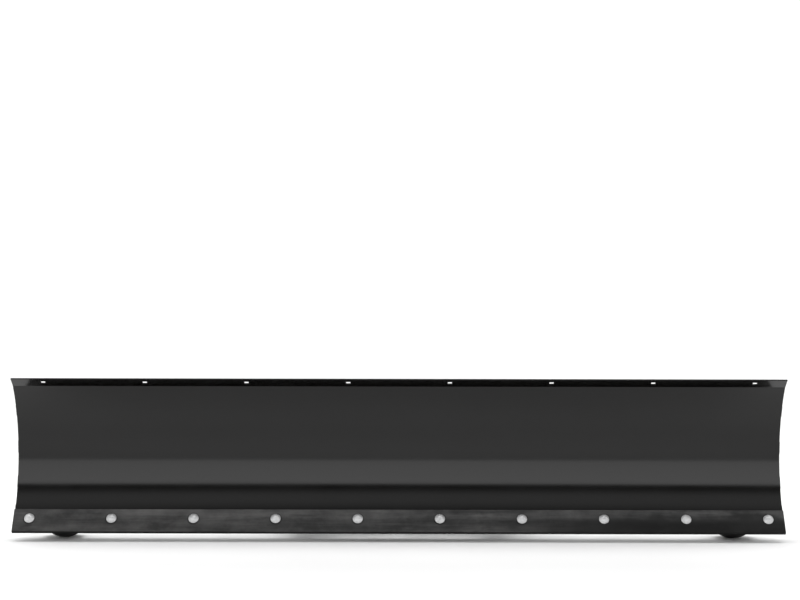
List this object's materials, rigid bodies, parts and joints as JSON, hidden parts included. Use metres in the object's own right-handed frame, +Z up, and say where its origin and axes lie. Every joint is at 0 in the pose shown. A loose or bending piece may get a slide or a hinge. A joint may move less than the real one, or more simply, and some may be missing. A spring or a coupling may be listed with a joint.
{
  "type": "snow plow blade",
  "caption": "Full-width black snow plow for a side-by-side utility vehicle: curved trip blade, bolted wear bar, skid shoes, angling swivel and push frame.",
  "frame": {"origin": "on the ground, under the middle of the whole plow's bounding box", "axes": "+X to the right as seen from in front of the blade, along the blade; +Y towards the vehicle; +Z up. The blade faces -Y."},
  "size_m": [1.829, 0.865, 0.3875],
  "materials": {
    "powder_black": "semi-gloss black powder coat, slightly textured",
    "wear_steel": "dark mill-scale flat bar, mottled, bare at the edges",
    "zinc": "zinc plate, satin",
    "shoe_iron": "black painted casting",
    "spring_steel": "black oiled spring steel",
    "bronze": "plain bronze and brass",
    "rubber": "moulded rubber",
    "plastic": "moulded black plastic"
  },
  "bodies": {
    "push_frame": {"head_plates": "powder_black", "king_tube": "powder_black", "push_arm_left": "powder_black", "push_arm_right": "powder_black", "middle_brace": "powder_black", "rear_crosstube": "powder_black", "hitch_ear_left": "powder_black", "hitch_ear_right": "powder_black", "lift_loop": "powder_black", "lock_tower": "powder_black", "king_pin": "zinc", "king_washers": "zinc", "king_nut": "zinc", "king_cotter": "zinc"},
    "swivel": {"swivel_crosstube": "powder_black", "swivel_tube_caps": "plastic", "trip_knuckles": "powder_black", "trip_bushes": "bronze", "grease_fittings": "bronze", "swivel_sector_plate": "powder_black", "swivel_lower_plate": "powder_black", "swivel_gussets": "powder_black", "spring_anchors": "powder_black", "stop_blocks": "powder_black", "stop_pads": "rubber", "spring_pins_rear": "zinc", "spring_cotters_rear": "zinc"},
    "blade": {"moldboard": "powder_black", "wear_bar": "wear_steel", "wear_bar_bolts": "zinc", "wear_bar_washers": "zinc", "wear_bar_nuts": "zinc", "lower_rail": "powder_black", "top_rail": "powder_black", "ribs": "powder_black", "end_ribs": "powder_black", "pivot_ribs": "powder_black", "trip_bolts": "zinc", "spring_pins_top": "zinc", "spring_cotters_top": "zinc", "shoe_sockets": "powder_black"},
    "left_shoe": {"shoe_dish_left": "shoe_iron", "shoe_stem_left": "zinc", "shoe_spacers_left": "zinc", "lynch_pin_left": "zinc"},
    "right_shoe": {"shoe_dish_right": "shoe_iron", "shoe_stem_right": "zinc", "shoe_spacers_right": "zinc", "lynch_pin_right": "zinc"},
    "left_spring": {"spring_end_rear_left": "spring_steel", "trip_spring_left": "spring_steel"},
    "right_spring": {"spring_end_rear_right": "spring_steel", "trip_spring_right": "spring_steel"},
    "left_spring_eye": {"spring_end_top_left": "spring_steel"},
    "right_spring_eye": {"spring_end_top_right": "spring_steel"},
    "lock_plunger": {"lock_pin": "zinc", "lock_collar": "zinc", "lock_handle": "zinc", "lock_knobs": "plastic", "lock_spring": "spring_steel"}
  },
  "joints": [
    {"name": "angle_swivel", "type": "hinge", "parent": "push_frame", "child": "swivel", "pos_m": [0, -0.1475, 0.112], "axis": [0, 0, 1], "range_deg": [-30, 30]},
    {"name": "blade_trip", "type": "hinge", "parent": "swivel", "child": "blade", "pos_m": [0, -0.2825, 0.112], "axis": [1, 0, 0], "range_deg": [0, 25], "stiffness_Nm_per_rad": 250, "springref_deg": -22.92},
    {"name": "left_shoe_spin", "type": "hinge", "parent": "blade", "child": "left_shoe", "pos_m": [-0.806, -0.3165, 0.092], "axis": [0, 0, 1], "continuous": true},
    {"name": "right_shoe_spin", "type": "hinge", "parent": "blade", "child": "right_shoe", "pos_m": [0.806, -0.3165, 0.092], "axis": [0, 0, 1], "continuous": true},
    {"name": "left_spring_turn", "type": "hinge", "parent": "swivel", "child": "left_spring", "pos_m": [-0.23, -0.0925, 0.165], "axis": [1, 0, 0], "range_deg": [0, 14.5]},
    {"name": "right_spring_turn", "type": "hinge", "parent": "swivel", "child": "right_spring", "pos_m": [0.23, -0.0925, 0.165], "axis": [1, 0, 0], "range_deg": [0, 14.5]},
    {"name": "left_spring_stretch", "type": "slide", "parent": "left_spring", "child": "left_spring_eye", "axis": [0, -0.8121, 0.5835], "range_m": [0, 0.063], "deforming": ["trip_spring_left"]},
    {"name": "right_spring_stretch", "type": "slide", "parent": "right_spring", "child": "right_spring_eye", "axis": [0, -0.8121, 0.5835], "range_m": [0, 0.063], "deforming": ["trip_spring_right"]},
    {"name": "lock_pin_slide", "type": "slide", "parent": "push_frame", "child": "lock_plunger", "axis": [0, 0, 1], "range_m": [-0.024, 0], "deforming": ["lock_spring"]}
  ],
  "couplings": [
    {"joint": "left_spring_turn", "follows": "blade_trip", "ratio": 0.5533},
    {"joint": "right_spring_turn", "follows": "blade_trip", "ratio": 0.5533},
    {"joint": "left_spring_stretch", "follows": "blade_trip", "m_per_rad": 0.14032},
    {"joint": "right_spring_stretch", "follows": "blade_trip", "m_per_rad": 0.14032}
  ]
}
